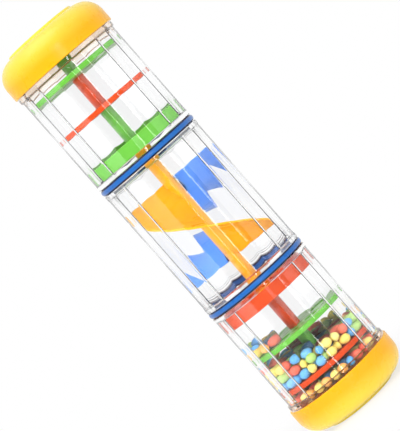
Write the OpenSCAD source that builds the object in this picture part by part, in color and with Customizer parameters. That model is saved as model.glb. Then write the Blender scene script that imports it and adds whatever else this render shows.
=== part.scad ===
// Clear toy rain stick that stands on either end cap.
// Three fluted tube sections are joined at two rings. The outer sections hold stacked
// baffles on posts and the loose beads, and the middle section holds a double helical vane.
// Millimetres, +Z up along the stick, origin at the middle of the lower end face.

/* [Caps] */
// Outer diameter of an end cap
cap_d = 51.4; // [50.4:0.1:56]
// Height of an end cap, from its mouth to its end face
cap_h = 15.4; // [13.5:0.1:24]
// Thickness of a cap's wall
cap_wall = 2.2; // [1.6:0.1:3]
// Radius of the rounded shoulder of a cap
cap_shoulder_r = 9; // [5:0.5:9.5]
// Diameter of the raised disc on a cap's end
end_disc_d = 33; // [20:0.5:33]
// Height of the raised disc on a cap's end
end_disc_h = 1; // [0.5:0.1:2]

/* [Tube] */
// Distance between the middle planes of the two rings
middle_l = 66.6; // [56:0.1:90]
// Diameter of the clear tube over its flutes
tube_d = 48.4; // [47.4:0.1:52]
// Size of the bore across its flats
bore_d = 43.2; // [40:0.1:44]
// Number of flutes outside and of flats inside
flute_count = 18; // [12:1:24]
// Radius of one convex flute
flute_r = 17; // [12:0.5:20]
// Diameter of the round flanges on both sides of a ring
flange_d = 48.8; // [47.6:0.1:52]
// Thickness of a flange
flange_h = 2; // [1.2:0.1:3]
// Thickness of the neck wall that joins two tube sections
neck_wall = 1.2; // [0.8:0.1:1.6]
// Depth to which a neck enters the middle section
neck_depth = 1.6; // [1:0.1:5]
// Diameter of the collar that a cap seats on
collar_d = 49.9; // [49:0.1:50.2]
// Visible height of the collar
collar_h = 2.5; // [1.8:0.1:4]
// Distance from the outer baffle's plate to the collar's end face
mouth_gap = 5.9; // [4.5:0.1:8]
// Thickness of the closed end of an outer section
end_wall = 1.5; // [1.2:0.1:2.2]
// Height of the locating rim inside a cap
rim_h = 3; // [2:0.1:4]
// Wall of the locating rim inside a cap
rim_wall = 1.4; // [1:0.1:2]

/* [Rings] */
// Outer diameter of a ring
ring_d = 49; // [48:0.1:52]
// Height of a ring
ring_h = 3.2; // [2.4:0.1:4]

/* [Baffles] */
// Thickness of a baffle's plate
plate_h = 2.2; // [1.6:0.1:3]
// Height of a cup at the inner end of an outer section
cup_h = 6; // [4:0.1:8]
// Thickness of a cup's wall
cup_wall = 1.6; // [1:0.1:2.4]
// Free height of a chamber between two baffles
chamber_h = 15.7; // [13:0.1:24]
// Free height of the end chamber, one layer of beads
end_chamber_h = 5.8; // [4.6:0.1:7]
// Diameter of a bead hole
hole_d = 7.2; // [5:0.1:9]
// Number of bead holes in a plate
hole_count = 5; // [3:1:6]
// Diameter of the circle that the bead holes lie on
hole_circle_d = 25.6; // [22:0.2:28]
// Diameter of a post at its foot
post_foot_d = 7.6; // [6.6:0.1:8.4]
// Diameter of a post at its tip
post_tip_d = 7.6; // [6.4:0.1:8.4]
// Diameter of the spigot on a post's tip
spigot_d = 4; // [3:0.1:4.8]
// Length of the spigot on a post's tip
spigot_l = 3.2; // [2:0.1:4]

/* [Vanes] */
// Diameter of the middle section's post
spindle_d = 7.6; // [6.6:0.1:8.4]
// Height of a vane
vane_h = 42.4; // [30:0.1:48]
// Distance of the vanes' middle below the middle of the section
vane_drop = 0.6; // [0:0.1:2]
// Thickness of a vane, measured level
vane_t = 1.6; // [1.2:0.1:2.4]
// Turn of a vane over its height
vane_turn = 180; // [120:5:270]
// Direction of the orange vane's lower edge, from +X
vane_angle = -13; // [-90:1:90]

/* [Beads] */
// Diameter of a bead
bead_d = 4.1; // [3:0.1:4.1]
// Mean number of bead layers in the main chamber
heap_layers = 2.8; // [1:0.1:4]
// Layers by which the heap rises from its middle to the left wall
heap_lean_left = 1; // [0:0.1:1.5]
// Layers by which the heap rises from its middle to the back wall
heap_lean_back = 0.8; // [0:0.1:1.5]
// Angle over which beads lie on the inner baffle, at the left wall
top_spread = 84; // [40:2:180]
// Angle over which a second layer lies on those
top_second_spread = 62; // [20:2:120]

/* [Fits] */
// Play of a spigot in its socket, at each side
spigot_play = 0.1; // [0.05:0.01:0.2]
// Play between a neck, a rim or a ring and what it fits, at each side
seat_play = 0.15; // [0.1:0.01:0.3]
// Play of a baffle or a vane in the bore, at each side
bore_play = 0.35; // [0.2:0.05:0.6]
// Least space between two beads
bead_play = 0.15; // [0.1:0.05:0.4]

/* [Hidden] */
$fn = 96;
vane_slices = 40;
vane_segments = 8;
front = -90;
sector = 360 / flute_count;
cut = 0.5;
bore_a = bore_d / 2;
neck_r = bore_a - seat_play;
cap_bore_r = cap_d / 2 - cap_wall;
rim_r = cap_bore_r - seat_play;
plate_r = bore_a - bore_play;
socket_d = spigot_d + 2 * spigot_play;
socket_l = spigot_l + spigot_play;
boss_d = socket_d + 2 * end_wall;
boss_l = socket_l + end_wall;

// Heights above a joint plane, outwards through an outer section
flange_low = ring_h / 2;
cup_low = flange_low + flange_h;
inner_plate_low = cup_low + cup_h + chamber_h;
outer_plate_low = inner_plate_low + plate_h + chamber_h;
end_low = outer_plate_low + plate_h + end_chamber_h;
mouth = outer_plate_low + plate_h + mouth_gap;
lower_joint = cap_h + mouth;
upper_joint = lower_joint + middle_l;
middle_z = lower_joint + middle_l / 2;
spindle_l = middle_l + 2 * cup_low;

// Floors of the three chambers of the lower section that hold beads
end_floor = lower_joint - end_low;
main_floor = lower_joint - outer_plate_low;
top_floor = lower_joint - inner_plate_low;

// Beads lie in rings round the post and in nested layers, turned by half a step from layer to layer
bead_pitch = bead_d + bead_play;
layer_pitch = bead_pitch * cos(30);
outer_bead_r = bore_a - bore_play - bead_d / 2;
inner_bead_r = post_foot_d / 2 + bead_play + bead_d / 2;
ring_count = floor((outer_bead_r - inner_bead_r) / bead_pitch) + 1;
layer_count = floor((chamber_h - 2 * bead_play - bead_d) / layer_pitch) + 1;
function ring_r(k) = outer_bead_r - k * bead_pitch;
function ring_beads(k) = floor(180 / asin(bead_pitch / 2 / ring_r(k)));
function bead_angle(i, k, layer) = front + (i + (layer + k + 1) % 2 / 2) * 360 / ring_beads(k);
function heap_top(i, k, layer) =
    heap_layers
    - heap_lean_left * ring_r(k) / outer_bead_r * cos(bead_angle(i, k, layer))
    + heap_lean_back * ring_r(k) / outer_bead_r * sin(bead_angle(i, k, layer));
function from_left(i, k, layer) = abs((bead_angle(i, k, layer) + 360) % 360 - 180);
function bead_point(i, k, layer, floor_z) = [
    ring_r(k) * cos(bead_angle(i, k, layer)),
    ring_r(k) * sin(bead_angle(i, k, layer)),
    floor_z + bead_play + bead_d / 2 + layer * layer_pitch
];

// Colour numbers are 0 yellow, 1 green, 2 blue, 3 red and 4 orange.
// Each row gives the outer beads of one layer, from the left wall along the front to the right.
first_place = -7;
END_ROWS = [
    [3, 3, 0, 4, 0, 4, 0, 4, 2, 3, 3, 0, 3]
];
MAIN_ROWS = [
    [2, 2, 2, 2, 2, 0, 2, 0, 0, 0, 2, 1, 1],
    [0, 1, 1, 3, 3, 0, 1, 2, 0, 0, 3, 2, 1],
    [0, 0, 0, 3, 2],
    [3, 3]
];
TOP_ROWS = [
    [4, 0, 4],
    [2, 2, 4]
];
// Elsewhere the colours come round in a fixed order, with a step for each place, ring and layer
COLOUR_ORDER = [0, 1, 3, 0, 2, 0, 4, 1, 0, 3, 2];
COLOUR_STEPS = [3, 7, 7];
function bead_colour(rows, i, k, layer) =
    let (row = k == 0 && layer < len(rows) ? rows[layer] : [])
    let (place = (i - first_place) % ring_beads(k))
    let (turn = COLOUR_STEPS * [i, k, layer])
    place < len(row) ? row[place] : COLOUR_ORDER[turn % len(COLOUR_ORDER)];

yellow = [0.98, 0.78, 0.12];
green = [0.42, 0.80, 0.30];
red = [0.96, 0.32, 0.12];
blue = [0.10, 0.38, 0.78];
pale_blue = [0.38, 0.56, 0.94];
orange = [0.98, 0.64, 0.10];
clear = [0.93, 0.95, 0.97, 0.3];
BEAD_COLOURS = [
    [0.95, 0.86, 0.35],
    [0.60, 0.82, 0.40],
    [0.27, 0.58, 0.90],
    [0.92, 0.36, 0.28],
    [0.95, 0.66, 0.28]
];

// Places a piece of an outer section, drawn upwards from its joint plane
module at_upper() {
    translate([0, 0, upper_joint]) children();
}

module at_lower() {
    translate([0, 0, lower_joint]) mirror([0, 0, 1]) children();
}

// A round-shouldered half profile, r wide and h high
module dome_profile(r, h, shoulder) {
    square([r, h - shoulder]);
    square([r - shoulder, h]);
    translate([r - shoulder, h - shoulder]) intersection() {
        circle(r = shoulder);
        square([shoulder, shoulder]);
    }
}

module cap() {
    dome_h = cap_h - end_disc_h;
    color(yellow) translate([0, 0, mouth]) {
        rotate_extrude() difference() {
            dome_profile(cap_d / 2, dome_h, cap_shoulder_r);
            dome_profile(cap_bore_r, dome_h - cap_wall, cap_shoulder_r - cap_wall);
        }
        translate([0, 0, dome_h - cap_wall / 2]) cylinder(d = end_disc_d, h = end_disc_h + cap_wall / 2);
    }
}

// Outline of the clear tube: convex flutes that meet in grooves
module fluted_outline() {
    for (i = [0 : flute_count - 1]) {
        rotate(front + (i + 0.5) * sector) translate([tube_d / 2 - flute_r, 0]) circle(r = flute_r);
    }
}

// The bore has one flat behind each flute
module bore_outline() {
    corner_r = bore_a / cos(sector / 2);
    polygon([for (i = [0 : flute_count - 1]) corner_r * [cos(front + i * sector), sin(front + i * sector)]]);
}

module outer_tube() {
    neck_l = ring_h + neck_depth + flange_h;
    color(clear) {
        difference() {
            union() {
                translate([0, 0, -flange_low - neck_depth]) cylinder(r = neck_r, h = neck_l);
                translate([0, 0, flange_low]) cylinder(d = flange_d, h = flange_h);
            }
            translate([0, 0, -flange_low - neck_depth - cut]) {
                cylinder(r = neck_r - neck_wall, h = neck_l + 2 * cut);
            }
        }
        difference() {
            union() {
                translate([0, 0, cup_low]) linear_extrude(mouth - cup_low) fluted_outline();
                translate([0, 0, mouth - collar_h]) cylinder(d = collar_d, h = collar_h);
                translate([0, 0, end_low]) cylinder(r = rim_r, h = end_wall);
                translate([0, 0, end_low]) cylinder(d = boss_d, h = boss_l);
            }
            translate([0, 0, cup_low - cut]) linear_extrude(end_low - cup_low + cut) bore_outline();
            translate([0, 0, end_low - cut]) cylinder(d = socket_d, h = socket_l + cut);
        }
        translate([0, 0, mouth]) difference() {
            cylinder(r = rim_r, h = rim_h);
            translate([0, 0, -cut]) cylinder(r = rim_r - rim_wall, h = rim_h + 2 * cut);
        }
    }
}

module middle_tube() {
    tube_l = middle_l - ring_h;
    color(clear) translate([0, 0, lower_joint + flange_low]) difference() {
        union() {
            linear_extrude(tube_l) fluted_outline();
            cylinder(d = flange_d, h = flange_h);
            translate([0, 0, tube_l - flange_h]) cylinder(d = flange_d, h = flange_h);
        }
        translate([0, 0, -cut]) linear_extrude(tube_l + 2 * cut) bore_outline();
    }
}

// A hoop that is round outside and flat where the flanges grip it
module ring(z) {
    round_r = ring_h / 2;
    ring_in = neck_r + seat_play;
    color(blue) translate([0, 0, z]) rotate_extrude() intersection() {
        union() {
            translate([ring_in, -round_r]) square([ring_d / 2 - round_r - ring_in, ring_h]);
            translate([ring_d / 2 - round_r, 0]) circle(r = round_r);
        }
        translate([ring_in, -round_r]) square([ring_d / 2 - ring_in, ring_h]);
    }
}

module bead_holes(h) {
    for (i = [0 : hole_count - 1]) {
        rotate(front + (i + 0.5) * 360 / hole_count) translate([hole_circle_d / 2, 0, -cut]) {
            cylinder(d = hole_d, h = h + 2 * cut);
        }
    }
}

// A perforated plate with its post, which plugs into the next piece outwards
module baffle(z, post_l) {
    translate([0, 0, z]) difference() {
        union() {
            cylinder(r = plate_r, h = plate_h);
            cylinder(d1 = post_foot_d, d2 = post_tip_d, h = plate_h + post_l);
            cylinder(d = spigot_d, h = plate_h + post_l + spigot_l);
        }
        bead_holes(plate_h);
        translate([0, 0, -cut]) cylinder(d = socket_d, h = socket_l + cut);
    }
}

module cup() {
    baffle(cup_low, cup_h - plate_h + chamber_h);
    translate([0, 0, cup_low]) difference() {
        cylinder(r = plate_r, h = cup_h);
        translate([0, 0, -cut]) cylinder(r = plate_r - cup_wall, h = cup_h + 2 * cut);
    }
}

module inner_baffle() {
    baffle(inner_plate_low, chamber_h);
}

module outer_baffle() {
    baffle(outer_plate_low, end_chamber_h);
}

// A helical blade from radius r_in to the wall, its level edges along one radius
module vane(angle, r_in) {
    translate([0, 0, middle_z - vane_drop - vane_h / 2]) rotate(angle) {
        linear_extrude(vane_h, twist = vane_turn, slices = vane_slices, segments = vane_segments) {
            translate([r_in, -vane_t / 2]) square([plate_r - r_in, vane_t]);
        }
    }
}

// The middle post, with a spigot for each cup, carries its own vane
module orange_vane() {
    root_r = spindle_d / 2 - vane_t / 2;
    color(orange) {
        translate([0, 0, middle_z]) {
            cylinder(d = spindle_d, h = spindle_l, center = true);
            cylinder(d = spigot_d, h = spindle_l + 2 * spigot_l, center = true);
        }
        vane(vane_angle, root_r);
    }
}

module blue_vane() {
    color(pale_blue) vane(vane_angle + 180, spindle_d / 2 + spigot_play);
}

// All beads of one colour in one chamber, each with its ring k and its place i in that ring
module end_beads(colour) {
    for (k = [0 : ring_count - 1], i = [0 : ring_beads(k) - 1]) {
        if (bead_colour(END_ROWS, i, k, 0) == colour) bead(bead_point(i, k, 0, end_floor), colour);
    }
}

// The heap is highest at the left and at the back
module main_beads(colour) {
    for (layer = [0 : layer_count - 1], k = [0 : ring_count - 1], i = [0 : ring_beads(k) - 1]) {
        if (bead_colour(MAIN_ROWS, i, k, layer) == colour && layer + 0.5 < heap_top(i, k, layer)) {
            bead(bead_point(i, k, layer, main_floor), colour);
        }
    }
}

// The few beads that still lie on the inner baffle, in two rings against the left wall
module top_beads(colour) {
    for (layer = [0 : 1], k = [0 : 1], i = [0 : ring_beads(k) - 1]) {
        spread = layer == 0 ? top_spread : top_second_spread;
        if (bead_colour(TOP_ROWS, i, k, layer) == colour && from_left(i, k, layer) < spread / 2) {
            bead(bead_point(i, k, layer, top_floor), colour);
        }
    }
}

module bead(point, colour) {
    color(BEAD_COLOURS[colour]) translate(point) sphere(d = bead_d);
}

at_lower() cap();  // lower_cap
at_upper() cap();  // upper_cap
at_lower() outer_tube();  // lower_tube
middle_tube();
at_upper() outer_tube();  // upper_tube
ring(lower_joint);  // lower_ring
ring(upper_joint);  // upper_ring
color(red) at_lower() cup();  // lower_cup
color(green) at_lower() inner_baffle();  // lower_inner_baffle
color(red) at_lower() outer_baffle();  // lower_outer_baffle
color(green) at_upper() cup();  // upper_cup
color(red) at_upper() inner_baffle();  // upper_inner_baffle
color(green) at_upper() outer_baffle();  // upper_outer_baffle
orange_vane();
blue_vane();
end_beads(0);  // end_beads_yellow
end_beads(1);  // end_beads_green
end_beads(2);  // end_beads_blue
end_beads(3);  // end_beads_red
end_beads(4);  // end_beads_orange
main_beads(0);  // main_beads_yellow
main_beads(1);  // main_beads_green
main_beads(2);  // main_beads_blue
main_beads(3);  // main_beads_red
main_beads(4);  // main_beads_orange
top_beads(0);  // top_beads_yellow
top_beads(1);  // top_beads_green
top_beads(2);  // top_beads_blue
top_beads(3);  // top_beads_red
top_beads(4);  // top_beads_orange
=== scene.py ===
import math

import bmesh
import bpy
import numpy as np
from mathutils import Matrix, Vector


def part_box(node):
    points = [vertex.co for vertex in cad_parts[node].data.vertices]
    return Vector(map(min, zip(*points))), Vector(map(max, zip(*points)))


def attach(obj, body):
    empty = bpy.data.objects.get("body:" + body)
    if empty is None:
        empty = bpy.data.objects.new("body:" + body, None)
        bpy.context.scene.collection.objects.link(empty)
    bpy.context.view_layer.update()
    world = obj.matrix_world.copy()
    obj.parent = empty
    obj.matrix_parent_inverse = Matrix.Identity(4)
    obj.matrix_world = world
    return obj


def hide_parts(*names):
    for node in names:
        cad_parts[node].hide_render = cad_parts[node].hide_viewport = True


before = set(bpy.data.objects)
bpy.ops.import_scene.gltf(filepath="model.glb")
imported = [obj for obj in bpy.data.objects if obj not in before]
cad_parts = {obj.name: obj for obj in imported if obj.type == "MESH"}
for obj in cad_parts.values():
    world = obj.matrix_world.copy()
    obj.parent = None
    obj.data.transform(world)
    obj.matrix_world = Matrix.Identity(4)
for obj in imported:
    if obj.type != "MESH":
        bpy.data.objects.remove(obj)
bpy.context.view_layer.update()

# Looks of a clear toy rain stick. Metres, the frame's own axes, the stick upright on its lower cap.
MM = 0.001
FRONT = math.radians(-90)

# Sizes that the frame gives
CAP_LOW, CAP_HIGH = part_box("upper_cap")
RING_LOW, RING_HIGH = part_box("upper_ring")
MIDDLE_LOW, MIDDLE_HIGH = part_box("middle_tube")
TUBE_LOW, TUBE_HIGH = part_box("upper_tube")
CUP_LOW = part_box("upper_cup")[0]
INNER_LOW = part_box("upper_inner_baffle")[0]
OUTER_LOW, OUTER_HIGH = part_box("upper_outer_baffle")
SPINDLE_LOW, SPINDLE_HIGH = (corner.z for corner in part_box("orange_vane"))
VANE_LOW, VANE_HIGH = (corner.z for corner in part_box("blue_vane"))
UPPER_JOINT = (RING_LOW.z + RING_HIGH.z) / 2
LOWER_JOINT = CAP_HIGH.z - UPPER_JOINT
MIDDLE_Z = CAP_HIGH.z / 2
CAP_R = CAP_HIGH.x
RING_R = RING_HIGH.x
RING_H = RING_HIGH.z - RING_LOW.z
FLANGE_R = MIDDLE_HIGH.x
COLLAR_R = TUBE_HIGH.x
PLATE_R = OUTER_HIGH.x

# Heights in the outer sections, outwards from the joint with the middle section
NECK_Z = TUBE_LOW.z - UPPER_JOINT
CUP_Z = CUP_LOW.z - UPPER_JOINT
INNER_Z = INNER_LOW.z - UPPER_JOINT
OUTER_Z = OUTER_LOW.z - UPPER_JOINT
MOUTH = CAP_LOW.z - UPPER_JOINT
CAP_TOP = CAP_HIGH.z - UPPER_JOINT

# Heights from the middle of the stick
JOINT_FROM_MIDDLE = UPPER_JOINT - MIDDLE_Z
MOUTH_FROM_MIDDLE = CAP_LOW.z - MIDDLE_Z

# Clear tube
TUBE_R = 24.2 * MM
BORE_A = 21.6 * MM
FLUTES = 18
FLUTE_R = 17 * MM
FILLET_REACH = math.radians(0.7)
TUBE_TURN = math.radians(0.2)
SEAM_ANGLE = math.radians(40)
SEAM_R = 0.75 * MM
SEAM_SUNK = 0.35 * MM
FLANGE_H = 2 * MM
NECK_R = 21.45 * MM
NECK_WALL = 1.2 * MM
COLLAR_H = 2.5 * MM
END_WALL = 1.5 * MM
RIM_R = 23.35 * MM
RIM_H = 3 * MM
RIM_WALL = 1.4 * MM
BOSS_R = 3.6 * MM
TUBE_EDGE = 0.35 * MM
RING_PLAY = 0.15 * MM

# Angles from a groove, close together where the fillet lies
GROOVE_STEPS = np.radians([
    0, 0.17, 0.35, 0.52, 0.7, 0.9, 1.1, 1.3, 1.45, 1.57, 2.0, 3.0, 4.2, 5.5, 6.8, 8.2,
])

# Caps
CAP_WALL = 2.2 * MM
CAP_LIP = 0.5 * MM
CAP_BORE_EDGE = 0.2 * MM
SHOULDER_R = 9 * MM
DISC_R = 16.5 * MM
DISC_H = 1 * MM
DISC_DRAFT = 0.2 * MM
DISC_EDGE = 0.45 * MM
GATE_R = 1.2 * MM
GATE_DEPTH = 0.35 * MM
GATE_EDGE = 0.15 * MM

# Baffles
PLATE_H = 2.2 * MM
CUP_H = 6 * MM
CUP_WALL = 1.6 * MM
END_CHAMBER_H = 5.8 * MM
END_Z = OUTER_Z + PLATE_H + END_CHAMBER_H
HOLE_R = 3.6 * MM
HOLES = 5
HOLE_CIRCLE_R = 12.8 * MM
HOLE_PAST = 0.5 * MM
POST_R = 3.8 * MM
POST_ROOT = 0.8 * MM
BAFFLE_EDGE = 0.4 * MM
SPIGOT_R = 2 * MM
SPIGOT_L = 3.2 * MM
SPIGOT_PLAY = 0.1 * MM
SOCKET_R = SPIGOT_R + SPIGOT_PLAY
SOCKET_L = SPIGOT_L + SPIGOT_PLAY

# Vanes
SPINDLE_R = 3.8 * MM
VANE_T = 1.6 * MM
VANE_EDGE = 0.35 * MM
VANE_TURN = math.radians(180)
VANE_ANGLE = math.radians(-13)

# Beads, with the space that they keep from each other, from a floor and from the wall and the post
BEAD_R = 2.05 * MM
BEAD_GAP = 0.03 * MM
WALL_GAP = 0.1 * MM
BEAD_SIZES = (0.97, 1.0)
BEAD_RIDGE = 0.012
BEAD_RIDGE_WIDTH = 0.09

# How the beads settle
SHAKE = 1.0 * MM
SINK = 0.06 * MM
SINK_STEPS = 260
SETTLE_STEPS = 420
PASSES = 3
EASE = 0.8

# Fineness of the meshes
TURN_STEPS = 128
SPINDLE_STEPS = 96
FLOOR_STEPS = 64
HOLE_STEPS = 48
SHOULDER_STEPS = 16
INNER_SHOULDER_STEPS = 10
RING_STEPS = 15
HOLE_EDGE_STEPS = 6
CORNER_STEPS = 5
VANE_LEVELS = 72
VANE_POINTS_ACROSS = 12
VANE_EDGE_STEPS = 5
BALL_CUTS = 7
SHARP_FOLD = math.radians(32)
ON_AXIS = 1e-7


# Mesh helpers

def rounded(corners):
    """Outline with each corner rounded by the length that is its last number, 0 for a sharp one."""
    points = [np.array(corner[:-1], float) for corner in corners]
    out = []
    for i, point in enumerate(points):
        reach = corners[i][-1]
        if reach == 0:
            out.append(point)
            continue
        before = points[i - 1] - point
        after = points[(i + 1) % len(points)] - point
        start = point + before * (reach / np.linalg.norm(before[:2]))
        end = point + after * (reach / np.linalg.norm(after[:2]))
        for s in np.linspace(0, 1, CORNER_STEPS + 1):
            out.append((1 - s) ** 2 * start + 2 * s * (1 - s) * point + s ** 2 * end)
    return out


def even_angles(steps=TURN_STEPS):
    return FRONT + np.arange(steps) * 2 * math.pi / steps


def spun(profile, angles, swell=None):
    """Turns a profile of (radius, height) round Z.

    Points on the axis become poles, and an outline without a pole is closed. swell(share, angles)
    adds to the radius of a point by the point's third number, its share.
    """
    verts = []
    rings = []
    for point in profile:
        r, z = point[:2]
        if r < ON_AXIS:
            rings.append([len(verts)])
            verts.append((0.0, 0.0, z))
            continue
        radius = np.full(len(angles), r)
        if swell is not None and point[2]:
            radius = radius + swell(point[2], angles)
        rings.append(list(range(len(verts), len(verts) + len(angles))))
        verts += list(zip(radius * np.cos(angles), radius * np.sin(angles), np.full(len(angles), z)))
    pairs = list(zip(rings, rings[1:]))
    if len(rings[0]) > 1:
        pairs.append((rings[-1], rings[0]))
    faces = []
    for low, high in pairs:
        for i in range(len(angles)):
            j = (i + 1) % len(angles)
            face = [low[i % len(low)], low[j % len(low)], high[j % len(high)], high[i % len(high)]]
            faces.append(tuple(dict.fromkeys(face)))
    return verts, faces


def mesh_object(name, verts, faces):
    mesh = bpy.data.meshes.new(name)
    mesh.from_pydata([tuple(v) for v in verts], [], faces)
    shell = bmesh.new()
    shell.from_mesh(mesh)
    bmesh.ops.recalc_face_normals(shell, faces=shell.faces)
    shell.to_mesh(mesh)
    shell.free()
    obj = bpy.data.objects.new(name, mesh)
    bpy.context.scene.collection.objects.link(obj)
    return obj


def combine(obj, tool, operation):
    """Adds or cuts a tool object, which is then deleted."""
    change = obj.modifiers.new(operation.lower(), "BOOLEAN")
    change.operation = operation
    change.solver = "EXACT"
    change.object = tool
    depsgraph = bpy.context.evaluated_depsgraph_get()
    result = bpy.data.meshes.new_from_object(obj.evaluated_get(depsgraph))
    obj.modifiers.clear()
    obj.data = result
    bpy.data.objects.remove(tool)


def finish(obj, body, material, nodes):
    """Shades a piece, gives it its finish and lets it stand for its nodes."""
    obj.data.shade_smooth()
    obj.data.set_sharp_from_angle(angle=SHARP_FOLD)
    obj.data.materials.clear()
    obj.data.materials.append(material)
    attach(obj, body)
    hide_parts(*nodes)


def at_end(verts, end):
    """Places points drawn outwards from a joint plane at the upper or the lower end."""
    if end == "upper":
        return [(x, y, UPPER_JOINT + z) for x, y, z in verts]
    return [(x, y, LOWER_JOINT - z) for x, y, z in verts]


# Shader helpers

WHITE = (1, 1, 1, 1)


def paint(colour):
    return (*colour, 1)


def link(tree, source, target):
    tree.links.new(source, target)


def feed(tree, value, socket):
    """Links an output to a socket, or sets a plain value on it."""
    if hasattr(value, "is_output"):
        link(tree, value, socket)
    else:
        socket.default_value = value


def node(tree, kind, **inputs):
    """A node with its inputs fed by name, where _ stands for a space."""
    made = tree.nodes.new(kind)
    for name, value in inputs.items():
        feed(tree, value, made.inputs[name.replace("_", " ")])
    return made


def maths(tree, operation, first, second=0.0):
    made = tree.nodes.new("ShaderNodeMath")
    made.operation = operation
    feed(tree, first, made.inputs[0])
    feed(tree, second, made.inputs[1])
    return made.outputs[0]


def vector_maths(tree, operation, *vectors):
    made = tree.nodes.new("ShaderNodeVectorMath")
    made.operation = operation
    for vector, socket in zip(vectors, made.inputs):
        feed(tree, vector, socket)
    return made.outputs


def mapped(tree, value, old_range, new_range):
    """A value carried from one range to another and held at its ends."""
    made = node(tree, "ShaderNodeMapRange", Value=value)
    names = ("From Min", "From Max", "To Min", "To Max")
    for name, number in zip(names, (*old_range, *new_range)):
        feed(tree, number, made.inputs[name])
    return made.outputs[0]


def blended(tree, share, first, second):
    """Two colours mixed by the share of the second."""
    made = tree.nodes.new("ShaderNodeMix")
    made.data_type = "RGBA"
    feed(tree, share, made.inputs["Factor"])
    feed(tree, first, made.inputs["A"])
    feed(tree, second, made.inputs["B"])
    return made.outputs["Result"]


def position(tree):
    return node(tree, "ShaderNodeTexCoord").outputs["Object"]


def noise(tree, scale, detail, roughness=0.5):
    made = node(
        tree, "ShaderNodeTexNoise",
        Vector=position(tree), Scale=scale, Detail=detail, Roughness=roughness,
    )
    return made.outputs


def shader_group(name, inputs, outputs):
    """An empty node group with (name, socket type, default) inputs and (name, socket type) outputs."""
    group = bpy.data.node_groups.new(name, "ShaderNodeTree")
    for label, kind, value in inputs:
        socket = group.interface.new_socket(label, in_out="INPUT", socket_type=kind)
        socket.default_value = value
    for label, kind in outputs:
        group.interface.new_socket(label, in_out="OUTPUT", socket_type=kind)
    given = group.nodes.new("NodeGroupInput").outputs
    result = group.nodes.new("NodeGroupOutput").inputs
    return group, given, result


def moulding_group():
    """Colour that drifts a little, a fine grain and uneven gloss, as on injection-moulded plastic."""
    group, given, result = shader_group(
        "Moulded plastic",
        [
            ("Color", "NodeSocketColor", WHITE),
            ("Deep Color", "NodeSocketColor", WHITE),
            ("Drift", "NodeSocketFloat", 0.4),
            ("Low Roughness", "NodeSocketFloat", 0.2),
            ("High Roughness", "NodeSocketFloat", 0.35),
        ],
        [("Color", "NodeSocketColor"), ("Roughness", "NodeSocketFloat"), ("Height", "NodeSocketFloat")],
    )
    grain_share = 0.35
    cloud = noise(group, scale=46.0, detail=3.0, roughness=0.55)["Fac"]
    gloss = noise(group, scale=170.0, detail=4.0, roughness=0.6)["Fac"]
    grain = noise(group, scale=1500.0, detail=2.0)["Fac"]
    drift = maths(group, "MULTIPLY", mapped(group, cloud, (0.35, 0.7), (0.0, 1.0)), given["Drift"])
    roughness = mapped(group, gloss, (0.3, 0.7), (given["Low Roughness"], given["High Roughness"]))
    height = maths(group, "ADD", maths(group, "MULTIPLY", grain, grain_share), gloss)
    link(group, blended(group, drift, given["Color"], given["Deep Color"]), result["Color"])
    link(group, roughness, result["Roughness"])
    link(group, height, result["Height"])
    return group


def scuff_group():
    """Short fine rubs that run every way, denser in some places than in others."""
    group, given, result = shader_group(
        "Handling rubs",
        [("Scale", "NodeSocketFloat", 60.0), ("Amount", "NodeSocketFloat", 0.5)],
        [("Mask", "NodeSocketFloat")],
    )
    bend_reach = (0.01, 0.01, 0.01)
    line_width = 0.02
    bend = noise(group, scale=35.0, detail=2.0)["Color"]
    bent = vector_maths(group, "MULTIPLY_ADD", bend, bend_reach, position(group))["Vector"]
    cells = node(group, "ShaderNodeTexVoronoi", Vector=bent, Scale=given["Scale"])
    cells.feature = "DISTANCE_TO_EDGE"
    line = mapped(group, cells.outputs["Distance"], (0.0, line_width), (1.0, 0.0))
    where = noise(group, scale=90.0, detail=3.0)["Fac"]
    patch = mapped(group, where, (0.52, 0.68), (0.0, 1.0))
    rub = maths(group, "MULTIPLY", line, patch)
    link(group, maths(group, "MULTIPLY", rub, given["Amount"]), result["Mask"])
    return group


def height_grade_group():
    """One colour near two level planes and another away from them.

    Plane is how far the two planes lie above and below the middle of the stick. The colour changes
    from Start to End, counted from the nearer plane.
    """
    group, given, result = shader_group(
        "Colour by height",
        [
            ("Near Color", "NodeSocketColor", WHITE),
            ("Far Color", "NodeSocketColor", WHITE),
            ("Plane", "NodeSocketFloat", 0.0),
            ("Start", "NodeSocketFloat", 0.0),
            ("End", "NodeSocketFloat", 0.1),
        ],
        [("Color", "NodeSocketColor")],
    )
    height = node(group, "ShaderNodeSeparateXYZ", Vector=position(group)).outputs["Z"]
    from_middle = maths(group, "ABSOLUTE", maths(group, "SUBTRACT", height, MIDDLE_Z))
    from_plane = maths(group, "ABSOLUTE", maths(group, "SUBTRACT", from_middle, given["Plane"]))
    far = mapped(group, from_plane, (given["Start"], given["End"]), (0.0, 1.0))
    link(group, blended(group, far, given["Near Color"], given["Far Color"]), result["Color"])
    return group


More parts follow.
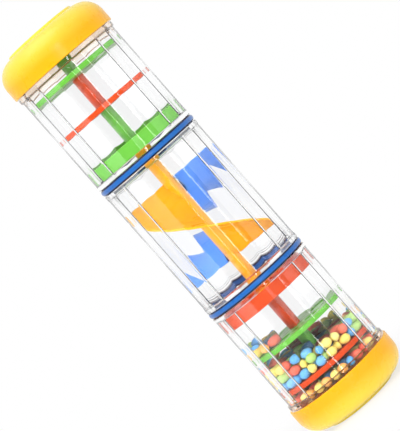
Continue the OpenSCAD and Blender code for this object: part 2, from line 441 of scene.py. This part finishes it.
def bead_tint_and_shade_group():
    """Beads that differ a little in tint, with painted shade: they are darkened towards the stick's axis,
    inside the heap, where no light gets in.
    """
    group, given, result = shader_group(
        "Bead tint and painted shade",
        [("Color", "NodeSocketColor", WHITE), ("Pale Color", "NodeSocketColor", WHITE)],
        [("Color", "NodeSocketColor"), ("Roughness", "NodeSocketFloat"), ("Height", "NodeSocketFloat")],
    )
    lot_share = 0.75
    speck_share = 0.25
    across = (1, 1, 0)
    heap_depth = (13.5 * MM, 17.5 * MM)
    heap_darkness = (0.75, 0.0)
    painted_heap_shade = paint((0.01, 0.012, 0.016))
    lot = node(group, "ShaderNodeNewGeometry").outputs["Random Per Island"]
    speck = noise(group, scale=620.0, detail=3.0)["Fac"]
    pale = maths(
        group, "ADD",
        maths(group, "MULTIPLY", lot, lot_share),
        maths(group, "MULTIPLY", speck, speck_share),
    )
    tinted = blended(group, pale, given["Color"], given["Pale Color"])
    # Painted shade: the colour turns almost black towards the stick's axis, inside the heap
    level_place = vector_maths(group, "MULTIPLY", position(group), across)["Vector"]
    from_axis = vector_maths(group, "LENGTH", level_place)["Value"]
    inside = mapped(group, from_axis, heap_depth, heap_darkness)
    link(group, blended(group, inside, tinted, painted_heap_shade), result["Color"])
    link(group, mapped(group, speck, (0.3, 0.7), (0.34, 0.5)), result["Roughness"])
    link(group, speck, result["Height"])
    return group


MOULDING = moulding_group()
SCUFFS = scuff_group()
HEIGHT_GRADE = height_grade_group()
BEAD_TINT_AND_SHADE = bead_tint_and_shade_group()


def material(name):
    made = bpy.data.materials.new(name)
    made.use_nodes = True
    return made, made.node_tree, made.node_tree.nodes["Principled BSDF"]


def placed_group(tree, group, **inputs):
    """A group's node, named as the group is, with its inputs fed by name, where _ stands for a space."""
    made = tree.nodes.new("ShaderNodeGroup")
    made.node_tree = group
    made.name = group.name
    for name, value in inputs.items():
        feed(tree, value, made.inputs[name.replace("_", " ")])
    return made


def bump(tree, height, strength, depth):
    return node(tree, "ShaderNodeBump", Strength=strength, Distance=depth, Height=height).outputs["Normal"]


# Materials

def plastic(name, colour, deep, glow=0.0, shine=0.5):
    """Coloured moulded plastic. Rubs take some of the gloss away."""
    rub_dullness = 0.3
    made, tree, shader = material(name)
    moulded = placed_group(
        tree, MOULDING,
        Color=paint(colour), Deep_Color=paint(deep), Drift=0.5, Low_Roughness=0.22, High_Roughness=0.36,
    )
    rubs = placed_group(tree, SCUFFS, Scale=70.0, Amount=0.3).outputs["Mask"]
    dulled = maths(tree, "MULTIPLY", rubs, rub_dullness)
    height = maths(tree, "SUBTRACT", moulded.outputs["Height"], rubs)
    link(tree, moulded.outputs["Color"], shader.inputs["Base Color"])
    link(tree, maths(tree, "ADD", moulded.outputs["Roughness"], dulled), shader.inputs["Roughness"])
    link(tree, bump(tree, height, strength=0.06, depth=0.2 * MM), shader.inputs["Normal"])
    shader.inputs["IOR"].default_value = 1.5
    shader.inputs["Specular IOR Level"].default_value = shine
    if glow:
        shader.inputs["Subsurface Weight"].default_value = glow
        shader.inputs["Subsurface Radius"].default_value = (1.0, 0.8, 0.6)
        shader.inputs["Subsurface Scale"].default_value = 2 * MM
    return made


def graded_plastic(name, plane, start, end, colours, deep_colours, **finish_values):
    """Moulded plastic whose colour changes with the height from a plane."""
    made = plastic(name, colours[0], deep_colours[0], **finish_values)
    tree = made.node_tree
    moulded = tree.nodes[MOULDING.name]
    for socket, (near, far) in (("Color", colours), ("Deep Color", deep_colours)):
        grade = placed_group(
            tree, HEIGHT_GRADE,
            Near_Color=paint(near), Far_Color=paint(far), Plane=plane, Start=start, End=end,
        )
        link(tree, grade.outputs["Color"], moulded.inputs[socket])
    return made


def clear_plastic(name):
    """Clear plastic with faint rubs, a slight waviness from the mould, and painted light next to the caps:
    a warm tone that is not a tint of the plastic.
    """
    cool_tint = paint((0.992, 0.996, 1.0))
    painted_warm_light = paint((1.0, 0.86, 0.70))
    rub_dullness = 0.08
    made, tree, shader = material(name)
    rubs = placed_group(tree, SCUFFS, Scale=55.0, Amount=0.5).outputs["Mask"]
    wave = noise(tree, scale=60.0, detail=1.0)["Fac"]
    # Painted light: the clear plastic turns warm over the collar, up to each cap's mouth
    warmed = placed_group(
        tree, HEIGHT_GRADE,
        Near_Color=blended(tree, wave, cool_tint, WHITE), Far_Color=painted_warm_light,
        Plane=0.0, Start=MOUTH_FROM_MIDDLE - COLLAR_H, End=MOUTH_FROM_MIDDLE,
    )
    link(tree, warmed.outputs["Color"], shader.inputs["Base Color"])
    link(tree, maths(tree, "MULTIPLY", rubs, rub_dullness), shader.inputs["Roughness"])
    link(tree, bump(tree, wave, strength=0.02, depth=0.3 * MM), shader.inputs["Normal"])
    shader.inputs["Transmission Weight"].default_value = 1.0
    shader.inputs["IOR"].default_value = 1.57
    shader.inputs["Specular Tint"].default_value = paint((0.5, 0.5, 0.5))
    return made


def bead_plastic(name, colour, pale):
    made, tree, shader = material(name)
    # The group's colour carries painted shade inside the heap as well as the tint
    tinted = placed_group(tree, BEAD_TINT_AND_SHADE, Color=paint(colour), Pale_Color=paint(pale)).outputs
    dimples = bump(tree, tinted["Height"], strength=0.08, depth=0.2 * MM)
    link(tree, tinted["Color"], shader.inputs["Base Color"])
    link(tree, tinted["Roughness"], shader.inputs["Roughness"])
    link(tree, dimples, shader.inputs["Normal"])
    shader.inputs["Specular IOR Level"].default_value = 0.3
    return made


# Painted light and shade: the caps turn from amber to lemon on their shoulders, painted light that makes
# them lighter towards their ends, and the rings get dark towards the flanges, painted shade in the joints
CAP_YELLOW = graded_plastic(
    "cap yellow", 0.0, MOUTH_FROM_MIDDLE + 4 * MM, MOUTH_FROM_MIDDLE + 14 * MM,
    ((1.0, 0.48, 0.004), (1.0, 0.80, 0.10)),
    ((1.0, 0.435, 0.003), (1.0, 0.74, 0.08)),
    glow=0.3, shine=0.35,
)
# Painted shade: the ring's blue turns almost black from 0.65 to 1.15 mm away from its middle, towards the
# flanges
RING_BLUE = graded_plastic(
    "ring blue", JOINT_FROM_MIDDLE, 0.65 * MM, 1.15 * MM,
    ((0.004, 0.13, 0.47), (0.001, 0.010, 0.05)),
    ((0.003, 0.11, 0.42), (0.001, 0.008, 0.04)),
)
BAFFLE_RED = plastic("baffle red", (0.59, 0.054, 0.001), (0.54, 0.046, 0.001), glow=0.2, shine=0.12)
BAFFLE_GREEN = plastic("baffle green", (0.125, 0.43, 0.043), (0.10, 0.385, 0.033), glow=0.2, shine=0.12)
VANE_ORANGE = plastic("vane orange", (0.88, 0.39, 0.007), (0.83, 0.35, 0.005), glow=0.5, shine=0.12)
VANE_BLUE = plastic("vane blue", (0.10, 0.29, 0.90), (0.085, 0.25, 0.86), glow=0.5, shine=0.12)
CLEAR = clear_plastic("clear tube")
BEADS = {
    "yellow": bead_plastic("yellow bead", (0.86, 0.66, 0.13), (0.90, 0.78, 0.28)),
    "green": bead_plastic("green bead", (0.40, 0.64, 0.16), (0.55, 0.78, 0.29)),
    "blue": bead_plastic("blue bead", (0.08, 0.34, 0.74), (0.20, 0.50, 0.84)),
    "red": bead_plastic("red bead", (0.78, 0.12, 0.07), (0.86, 0.21, 0.14)),
    "orange": bead_plastic("orange bead", (0.86, 0.40, 0.09), (0.90, 0.53, 0.18)),
}


# Caps

def quarter_round(r, z, radius, angles):
    """Points of a round shoulder that ends at radius r and height z."""
    return [(r - radius + radius * math.cos(s), z - radius + radius * math.sin(s)) for s in angles]


def cap_profile():
    dome = CAP_TOP - DISC_H
    bore_r = CAP_R - CAP_WALL
    under = (0, dome - CAP_WALL)
    outer = quarter_round(CAP_R, dome, SHOULDER_R, np.linspace(0, math.pi / 2, SHOULDER_STEPS))
    inner = quarter_round(
        bore_r, dome - CAP_WALL, SHOULDER_R - CAP_WALL, np.linspace(math.pi / 2, 0, INNER_SHOULDER_STEPS)
    )
    mouth_edge = rounded([
        (bore_r, MOUTH + CAP_LIP, 0),
        (bore_r, MOUTH, CAP_BORE_EDGE),
        (CAP_R, MOUTH, CAP_LIP),
        (CAP_R, MOUTH + 2 * CAP_LIP, 0),
    ])
    disc = rounded([
        (*outer[-1], 0),
        (DISC_R, dome, 0),
        (DISC_R - DISC_DRAFT, CAP_TOP, DISC_EDGE),
        (GATE_R + GATE_DEPTH, CAP_TOP, GATE_EDGE),
        (GATE_R, CAP_TOP - GATE_DEPTH, GATE_EDGE),
        (0, CAP_TOP - GATE_DEPTH, 0),
    ])
    return [under, *inner, *mouth_edge, *outer[:-1], *disc]


for end in ("upper", "lower"):
    verts, faces = spun(cap_profile(), even_angles())
    cap = mesh_object(f"{end}_end_cap", at_end(verts, end), faces)
    finish(cap, "stick", CAP_YELLOW, [f"{end}_cap"])


# Clear tube sections

def groove_offset(angles):
    """Angle from the nearest groove, between -half and half a sector."""
    sector = 2 * math.pi / FLUTES
    return (angles - FRONT - TUBE_TURN + sector / 2) % sector - sector / 2


def seam_height(angles):
    """The two mould seams are fine round ribs, one at each side of the front."""
    from_front = (angles - FRONT - TUBE_TURN + math.pi) % (2 * math.pi) - math.pi
    aside = (np.abs(from_front) - SEAM_ANGLE) * TUBE_R
    return np.sqrt(np.clip(SEAM_R ** 2 - aside ** 2, SEAM_SUNK ** 2, None)) - SEAM_SUNK


def filleted(offset, radius_at):
    """radius_at(offset) with its fold at 0 replaced by a fillet."""
    reach = FILLET_REACH
    nudge = 0.001
    slope = (radius_at(reach * (1 + nudge)) - radius_at(reach)) / (reach * nudge)
    inside = radius_at(reach) - slope * (reach ** 2 - offset ** 2) / (2 * reach)
    return np.where(np.abs(offset) < reach, inside, radius_at(np.abs(offset)))


def flute_radius(offset):
    middle = TUBE_R - FLUTE_R
    from_crest = math.pi / FLUTES - offset
    return middle * np.cos(from_crest) + np.sqrt(FLUTE_R ** 2 - (middle * np.sin(from_crest)) ** 2)


def flat_radius(offset):
    return BORE_A / np.cos(math.pi / FLUTES - offset)


def tube_swell(share, angles):
    """What the flutes take from the tube's radius, for a share above 0.

    For a share below 0, what the corners of the bore add to the bore's radius.
    """
    offset = groove_offset(angles)
    if share > 0:
        return share * (filleted(offset, flute_radius) - TUBE_R + seam_height(angles))
    return -share * (filleted(offset, flat_radius) - BORE_A)


def fluted_angles():
    """Angles round the tube, close together in the grooves."""
    half = math.pi / FLUTES
    sector = np.concatenate([-GROOVE_STEPS[:0:-1], GROOVE_STEPS, [half]])
    return np.concatenate([FRONT + TUBE_TURN + i * 2 * half + sector for i in range(FLUTES)])


def outer_tube_profile():
    flange_z = RING_H / 2
    socket_top = END_Z + SOCKET_L
    boss_top = socket_top + END_WALL
    return rounded([
        (0, boss_top, 0, 0),
        (BOSS_R, boss_top, 0, TUBE_EDGE),
        (BOSS_R, END_Z + END_WALL, 0, 0),
        (RIM_R - RIM_WALL, END_Z + END_WALL, 0, 0),
        (RIM_R - RIM_WALL, MOUTH + RIM_H, 0, 0),
        (RIM_R, MOUTH + RIM_H, 0, TUBE_EDGE),
        (RIM_R, MOUTH, 0, 0),
        (COLLAR_R, MOUTH, 0, 0),
        (COLLAR_R, MOUTH - COLLAR_H, 0, 2 * TUBE_EDGE),
        (TUBE_R, MOUTH - COLLAR_H, 1, TUBE_EDGE),
        (TUBE_R, CUP_Z, 1, TUBE_EDGE / 2),
        (FLANGE_R, CUP_Z, 0, TUBE_EDGE / 2),
        (FLANGE_R, flange_z, 0, TUBE_EDGE),
        (NECK_R, flange_z, 0, 0),
        (NECK_R, NECK_Z, 0, TUBE_EDGE),
        (NECK_R - NECK_WALL, NECK_Z, 0, TUBE_EDGE),
        (NECK_R - NECK_WALL, CUP_Z, 0, 0),
        (BORE_A, CUP_Z, -1, 0),
        (BORE_A, END_Z, -1, 0),
        (SOCKET_R, END_Z, 0, 0),
        (SOCKET_R, socket_top, 0, 0),
        (0, socket_top, 0, 0),
    ])


def middle_tube_profile():
    low = MIDDLE_LOW.z
    high = MIDDLE_HIGH.z
    return rounded([
        (FLANGE_R, low, 0, TUBE_EDGE),
        (FLANGE_R, low + FLANGE_H, 0, TUBE_EDGE / 2),
        (TUBE_R, low + FLANGE_H, 1, TUBE_EDGE / 2),
        (TUBE_R, high - FLANGE_H, 1, TUBE_EDGE / 2),
        (FLANGE_R, high - FLANGE_H, 0, TUBE_EDGE / 2),
        (FLANGE_R, high, 0, TUBE_EDGE),
        (BORE_A, high, -1, 0),
        (BORE_A, low, -1, 0),
    ])


def clear_section(name, verts, faces, replaced):
    """A clear section casts no shadow, so that the lamps reach what is inside."""
    section = mesh_object(name, verts, faces)
    section.visible_shadow = False
    finish(section, "stick", CLEAR, [replaced])


for end in ("upper", "lower"):
    verts, faces = spun(outer_tube_profile(), fluted_angles(), tube_swell)
    clear_section(f"{end}_clear_section", at_end(verts, end), faces, f"{end}_tube")
verts, faces = spun(middle_tube_profile(), fluted_angles(), tube_swell)
clear_section("middle_clear_section", verts, faces, "middle_tube")


# Rings

def ring_profile():
    half = RING_H / 2
    outline = [(NECK_R + RING_PLAY, half), (NECK_R + RING_PLAY, -half)]
    for s in np.linspace(-math.pi / 2, math.pi / 2, RING_STEPS):
        outline.append((RING_R - half + half * math.cos(s), half * math.sin(s)))
    return outline


for end in ("upper", "lower"):
    verts, faces = spun(ring_profile(), even_angles())
    ring = mesh_object(f"{end}_joint_ring", at_end(verts, end), faces)
    finish(ring, "stick", RING_BLUE, [f"{end}_ring"])


# Baffles and cups

def hole_cutter(z, depth):
    """A spool that leaves rounded edges at both faces of a plate."""
    edge = BAFFLE_EDGE
    flare = HOLE_R + edge
    turns = np.linspace(0, math.pi / 2, HOLE_EDGE_STEPS)
    outline = [(0, z - HOLE_PAST), (flare, z - HOLE_PAST), (flare, z)]
    outline += [(flare - edge * math.sin(s), z + edge - edge * math.cos(s)) for s in turns]
    outline += [(flare - edge * math.sin(s), z + depth - edge + edge * math.cos(s)) for s in turns[::-1]]
    outline += [(flare, z + depth + HOLE_PAST), (0, z + depth + HOLE_PAST)]
    return spun(outline, even_angles(HOLE_STEPS))


def baffle_profile(z, tip, wall_h):
    """A plate with its post and spigot, and with a cup's wall where wall_h isn't 0."""
    socket_top = z + SOCKET_L
    top = z + PLATE_H
    corners = [
        (0, tip + SPIGOT_L, 0),
        (SPIGOT_R, tip + SPIGOT_L, BAFFLE_EDGE),
        (SPIGOT_R, tip, 0),
        (POST_R, tip, BAFFLE_EDGE / 2),
        (POST_R, top, POST_ROOT),
    ]
    if wall_h:
        corners += [
            (PLATE_R - CUP_WALL, top, POST_ROOT),
            (PLATE_R - CUP_WALL, z + wall_h, BAFFLE_EDGE),
            (PLATE_R, z + wall_h, BAFFLE_EDGE),
        ]
    else:
        corners += [(PLATE_R, top, BAFFLE_EDGE)]
    corners += [
        (PLATE_R, z, BAFFLE_EDGE),
        (SOCKET_R, z, 0),
        (SOCKET_R, socket_top, 0),
        (0, socket_top, 0),
    ]
    return rounded(corners)


def baffle(name, end, z, tip, wall_h, slot, colour, replaced):
    verts, faces = spun(baffle_profile(z, tip, wall_h), even_angles())
    piece = mesh_object(name, at_end(verts, end), faces)
    hole_verts, hole_faces = hole_cutter(z, PLATE_H)
    cutter_verts = []
    cutter_faces = []
    for i in range(HOLES):
        turn = FRONT + (i + 0.5) * 2 * math.pi / HOLES
        aside_x = HOLE_CIRCLE_R * math.cos(turn)
        aside_y = HOLE_CIRCLE_R * math.sin(turn)
        cutter_faces += [tuple(len(cutter_verts) + v for v in f) for f in hole_faces]
        cutter_verts += [(x + aside_x, y + aside_y, h) for x, y, h in hole_verts]
    combine(piece, mesh_object("hole_cutter", at_end(cutter_verts, end), cutter_faces), "DIFFERENCE")
    finish(piece, "stick", colour, [replaced])


RED = ("baffle_red", BAFFLE_RED)
GREEN = ("baffle_green", BAFFLE_GREEN)
for end, first, second in (("upper", GREEN, RED), ("lower", RED, GREEN)):
    baffle(f"{end}_cup_baffle", end, CUP_Z, INNER_Z, CUP_H, *first, f"{end}_cup")
    baffle(f"{end}_inner_plate", end, INNER_Z, OUTER_Z, 0.0, *second, f"{end}_inner_baffle")
    baffle(f"{end}_outer_plate", end, OUTER_Z, END_Z, 0.0, *first, f"{end}_outer_baffle")


# Vanes

def blade_outline(r_in):
    """Section of a blade from its inner radius to the plates' radius, with a rounded outer edge."""
    half = VANE_T / 2
    across = np.linspace(r_in, PLATE_R, VANE_POINTS_ACROSS)[1:-1]
    corners = [(r_in, -half, 0)]
    corners += [(r, -half, 0) for r in across]
    corners += [(PLATE_R, -half, VANE_EDGE), (PLATE_R, half, VANE_EDGE)]
    corners += [(r, half, 0) for r in across[::-1]]
    corners += [(r_in, half, 0)]
    return np.array(rounded(corners))


def blade_levels():
    """Heights of a blade's loops, and how far each is drawn in for the rounded ends."""
    turns = np.linspace(0, math.pi / 2, VANE_EDGE_STEPS)[:-1]
    steps = VANE_EDGE * (1 - np.cos(turns))
    shrinks = VANE_EDGE - np.sqrt(np.clip(VANE_EDGE ** 2 - (VANE_EDGE - steps) ** 2, 0, None))
    levels = [(VANE_LOW + step, shrink) for step, shrink in zip(steps, shrinks)]
    levels += [(z, 0.0) for z in np.linspace(VANE_LOW + VANE_EDGE, VANE_HIGH - VANE_EDGE, VANE_LEVELS)]
    levels += [(VANE_HIGH - step, shrink) for step, shrink in zip(steps[::-1], shrinks[::-1])]
    return levels


def blade(angle, r_in):
    """A helical blade with rounded edges, as closed loops one above another."""
    loop = blade_outline(r_in)
    levels = blade_levels()
    count = len(loop)
    verts = []
    for z, shrink in levels:
        turn = angle - VANE_TURN * (z - VANE_LOW) / (VANE_HIGH - VANE_LOW)
        v = loop[:, 1] * (1 - shrink / (VANE_T / 2))
        u = np.where(loop[:, 0] > PLATE_R - 2 * VANE_EDGE, loop[:, 0] - shrink, loop[:, 0])
        x = u * math.cos(turn) - v * math.sin(turn)
        y = u * math.sin(turn) + v * math.cos(turn)
        verts += list(zip(x, y, np.full(count, z)))
    faces = []
    for level in range(len(levels) - 1):
        low = level * count
        high = low + count
        for i in range(count):
            j = (i + 1) % count
            faces.append((low + i, low + j, high + j, high + i))
    faces.append(tuple(range(count)))
    faces.append(tuple(range(len(verts) - count, len(verts))))
    return verts, faces


def spindle_profile():
    return rounded([
        (0, SPINDLE_LOW, 0),
        (SPIGOT_R, SPINDLE_LOW, BAFFLE_EDGE),
        (SPIGOT_R, SPINDLE_LOW + SPIGOT_L, 0),
        (SPINDLE_R, SPINDLE_LOW + SPIGOT_L, BAFFLE_EDGE),
        (SPINDLE_R, SPINDLE_HIGH - SPIGOT_L, BAFFLE_EDGE),
        (SPIGOT_R, SPINDLE_HIGH - SPIGOT_L, 0),
        (SPIGOT_R, SPINDLE_HIGH, BAFFLE_EDGE),
        (0, SPINDLE_HIGH, 0),
    ])


spindle = mesh_object("orange_spindle_vane", *spun(spindle_profile(), even_angles(SPINDLE_STEPS)))
orange_blade = mesh_object("orange_blade", *blade(VANE_ANGLE, SPINDLE_R - VANE_T / 2))
combine(spindle, orange_blade, "UNION")
finish(spindle, "stick", VANE_ORANGE, ["orange_vane"])
blue_helix = mesh_object("blue_helix_vane", *blade(VANE_ANGLE + math.pi, SPINDLE_R + SPIGOT_PLAY))
finish(blue_helix, "stick", VANE_BLUE, ["blue_vane"])


# Beads

def island_centres(obj):
    """Middle of each separate ball in a node's mesh."""
    mesh = obj.data
    co = np.empty(len(mesh.vertices) * 3)
    mesh.vertices.foreach_get("co", co)
    co = co.reshape(-1, 3)
    ends = np.empty(len(mesh.edges) * 2, int)
    mesh.edges.foreach_get("vertices", ends)
    a, b = ends.reshape(-1, 2).T
    label = np.arange(len(co))
    while True:
        low = np.minimum(label[a], label[b])
        new = label.copy()
        np.minimum.at(new, a, low)
        np.minimum.at(new, b, low)
        new = new[new]
        if (new == label).all():
            break
        label = new
    centres = []
    for k in np.unique(label):
        own = co[label == k]
        centres.append((own.min(0) + own.max(0)) / 2)
    return np.array(centres)


def settled(points, floor_z, ceiling_z, seed):
    """Lets beads slip a little from their even places under their weight.

    They stay clear of the wall, the post and each other.
    """
    rng = np.random.default_rng(seed)
    reach = 2 * BEAD_R + BEAD_GAP
    wall = BORE_A - BEAD_R - WALL_GAP
    post = POST_R + BEAD_R + WALL_GAP
    now = points + rng.normal(0, SHAKE, points.shape)
    for step in range(SETTLE_STEPS):
        if step < SINK_STEPS:
            now[:, 2] -= SINK
        for _ in range(PASSES):
            apart = now[:, None] - now[None]
            distance = np.linalg.norm(apart, axis=2) + np.eye(len(now))
            push = np.clip(reach - distance, 0, None) / distance / 2
            np.fill_diagonal(push, 0)
            now += EASE * (push[:, :, None] * apart).sum(1)
            radius = np.linalg.norm(now[:, :2], axis=1)
            now[:, :2] *= (np.clip(radius, post, wall) / radius)[:, None]
            now[:, 2] = np.clip(now[:, 2], floor_z + BEAD_R + BEAD_GAP, ceiling_z - BEAD_R - BEAD_GAP)
    return now


def ball():
    """A ball of six curved faces, with a faint ridge where the two mould halves met."""
    shape = bmesh.new()
    bmesh.ops.create_cube(shape, size=2)
    bmesh.ops.subdivide_edges(shape, edges=shape.edges[:], cuts=BALL_CUTS, use_grid_fill=True)
    points = np.array([v.co for v in shape.verts])
    warped = np.tan(points * math.pi / 4)
    warped /= np.linalg.norm(warped, axis=1)[:, None]
    ridge = 1 + BEAD_RIDGE * np.exp(-(warped[:, 2] / BEAD_RIDGE_WIDTH) ** 2) - BEAD_RIDGE
    faces = [tuple(v.index for v in f.verts) for f in shape.faces]
    shape.free()
    return warped * ridge[:, None] * BEAD_R, faces


BALL_VERTS, BALL_FACES = ball()


def bead_batch(name, centres, seed):
    """One mesh of balls, each turned its own way and a touch smaller than the mould."""
    rng = np.random.default_rng(seed)
    verts = []
    faces = []
    for centre in centres:
        axis = rng.normal(size=3)
        turn = np.array(Matrix.Rotation(rng.uniform(0, math.pi), 3, Vector(axis)))
        size = rng.uniform(*BEAD_SIZES)
        faces += [tuple(len(verts) + v for v in f) for f in BALL_FACES]
        verts += list(BALL_VERTS @ turn.T * size + centre)
    return mesh_object(name, verts, faces)


# Floor and ceiling of each chamber
CHAMBERS = {
    "end": (LOWER_JOINT - END_Z, LOWER_JOINT - OUTER_Z - PLATE_H),
    "main": (LOWER_JOINT - OUTER_Z, LOWER_JOINT - INNER_Z - PLATE_H),
    "top": (LOWER_JOINT - INNER_Z, LOWER_JOINT - CUP_Z - CUP_H),
}
for seed, (chamber, (floor_z, ceiling_z)) in enumerate(CHAMBERS.items()):
    lots = {colour: island_centres(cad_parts[f"{chamber}_beads_{colour}"]) for colour in BEADS}
    loose = settled(np.concatenate(list(lots.values())), floor_z, ceiling_z, seed)
    first = 0
    for colour, centres in lots.items():
        batch = bead_batch(f"{colour}_beads_{chamber}", loose[first:first + len(centres)], seed)
        first += len(centres)
        replaced = [f"{chamber}_beads_{colour}"]
        finish(batch, f"{chamber}_beads", BEADS[colour], replaced)


# Floor, light and camera

FLOOR_R = 0.4
FLOOR_GREY = paint((0.95, 0.95, 0.95))
SHADOW_REACH = (0.02, 0.11)
SHADOW_WHITENESS = (0.7, 1.0)

# Strength of the surroundings: as light on the stick, as light on what is inside the clear walls,
# as the white behind the clear walls, and in mirror images of what lies in front
AMBIENT = 0.35
AMBIENT_INSIDE = 0.7
BEHIND_WALLS = 0.97
MIRRORED_FRONT = 0.3

# Where their mirror images turn from dim to white, as parts of a direction of length 1
FRONT_TO_BACK = (-0.45, 0.15)
LEVEL_TO_ABOVE = (0.4, 0.7)

# Name, place, width and height, watts, whether reflections show it, and the point that it faces
STICK_MIDDLE = (0, 0, 0.1)
LAMPS = (
    ("key", (-1.05, -0.6, 0.2), (0.9, 0.9), 8.3, False, STICK_MIDDLE),
    ("fill", (0.92, -0.8, 0.15), (0.9, 0.9), 6.1, False, STICK_MIDDLE),
    ("overhead", (-0.15, -0.25, 1.25), (1.0, 1.0), 7.0, True, STICK_MIDDLE),
    ("strip", (0.18, -1.38, 0.2), (0.10, 0.6), 2.8, True, STICK_MIDDLE),
    ("floor_wash", (-0.05, -0.34, 0.25), (0.3, 0.2), 0.55, False, (-0.05, -0.33, 0)),
)

# Light crosses and meets many clear walls before it comes out again
GLOSSY_BOUNCES = 12


def floor_material():
    """Pale floor that shows the stick's shadow and turns to plain white away from it."""
    made, tree, shader = material("pale floor")
    shader.inputs["Base Color"].default_value = FLOOR_GREY
    shader.inputs["Roughness"].default_value = 0.9
    distance = vector_maths(tree, "LENGTH", position(tree))["Value"]
    away = mapped(tree, distance, SHADOW_REACH, SHADOW_WHITENESS)
    rays = node(tree, "ShaderNodeLightPath").outputs
    glassy = maths(tree, "MAXIMUM", rays["Is Glossy Ray"], rays["Is Transmission Ray"])
    seen = maths(tree, "MULTIPLY", away, maths(tree, "MAXIMUM", rays["Is Camera Ray"], glassy))
    white = node(tree, "ShaderNodeEmission", Color=WHITE, Strength=1.0)
    mixed = node(tree, "ShaderNodeMixShader")
    link(tree, seen, mixed.inputs[0])
    link(tree, shader.outputs[0], mixed.inputs[1])
    link(tree, white.outputs[0], mixed.inputs[2])
    link(tree, mixed.outputs[0], tree.nodes["Material Output"].inputs["Surface"])
    return made


def studio_world():
    """White surroundings, whose mirror image is dim in front, below the lamps."""
    world = bpy.data.worlds.new("studio")
    bpy.context.scene.world = world
    world.use_nodes = True
    tree = world.node_tree
    place = node(tree, "ShaderNodeTexCoord").outputs["Generated"]
    axes = node(tree, "ShaderNodeSeparateXYZ", Vector=place).outputs
    behind = mapped(tree, axes["Y"], FRONT_TO_BACK, (MIRRORED_FRONT, 1.0))
    above = mapped(tree, axes["Z"], LEVEL_TO_ABOVE, (MIRRORED_FRONT, 1.0))
    mirrored = maths(tree, "MAXIMUM", behind, above)
    rays = node(tree, "ShaderNodeLightPath").outputs
    reflected = maths(tree, "GREATER_THAN", rays["Glossy Depth"], 0.5)
    ambient = mapped(tree, reflected, (0.0, 1.0), (AMBIENT, mirrored))
    straight = maths(tree, "SUBTRACT", rays["Is Transmission Ray"], reflected)
    scattered = maths(tree, "MINIMUM", rays["Diffuse Depth"], 1.0)
    walled = mapped(tree, scattered, (0.0, 1.0), (BEHIND_WALLS, AMBIENT_INSIDE))
    through = maths(tree, "MULTIPLY", straight, walled)
    seen = maths(tree, "MAXIMUM", through, rays["Is Camera Ray"])
    background = tree.nodes["Background"]
    background.inputs["Color"].default_value = WHITE
    link(tree, maths(tree, "MAXIMUM", ambient, seen), background.inputs["Strength"])


def soft_lamp(name, place, size, power, mirrored, target):
    """A rectangular lamp that the camera doesn't see."""
    lamp = bpy.data.lights.new(name, "AREA")
    lamp.shape = "RECTANGLE"
    lamp.size, lamp.size_y = size
    lamp.energy = power
    obj = bpy.data.objects.new(name, lamp)
    obj.visible_camera = False
    obj.visible_glossy = mirrored
    obj.location = place
    obj.rotation_euler = (Vector(target) - Vector(place)).to_track_quat("-Z", "Y").to_euler()
    bpy.context.scene.collection.objects.link(obj)


def camera():
    """Looks at the middle of the stick from a little above, turned so that the stick leans to the left."""
    eye = Vector((0, -1.0, 0.15))
    target = Vector((0, 0, 0.1007))
    roll = math.radians(41.3)
    view_width = 0.1633
    away = (target - eye).normalized()
    side = away.cross(Vector((0, 0, 1))).normalized()
    upright = side.cross(away)
    up = side * math.sin(roll) + upright * math.cos(roll)
    right = away.cross(up)
    data = bpy.data.cameras.new("photograph")
    data.sensor_fit = "HORIZONTAL"
    data.sensor_width = 36
    data.lens = data.sensor_width * (target - eye).length / view_width
    obj = bpy.data.objects.new("photograph", data)
    axes = Matrix((right, up, -away)).transposed()
    obj.matrix_world = Matrix.Translation(eye) @ axes.to_4x4()
    bpy.context.scene.collection.objects.link(obj)
    bpy.context.scene.camera = obj


floor = mesh_object("floor", *spun([(0, 0), (FLOOR_R, 0)], even_angles(FLOOR_STEPS)))
floor.data.materials.append(floor_material())
studio_world()
for lamp in LAMPS:
    soft_lamp(*lamp)
camera()
bpy.context.scene.view_settings.view_transform = "Standard"
bpy.context.scene.cycles.glossy_bounces = GLOSSY_BOUNCES
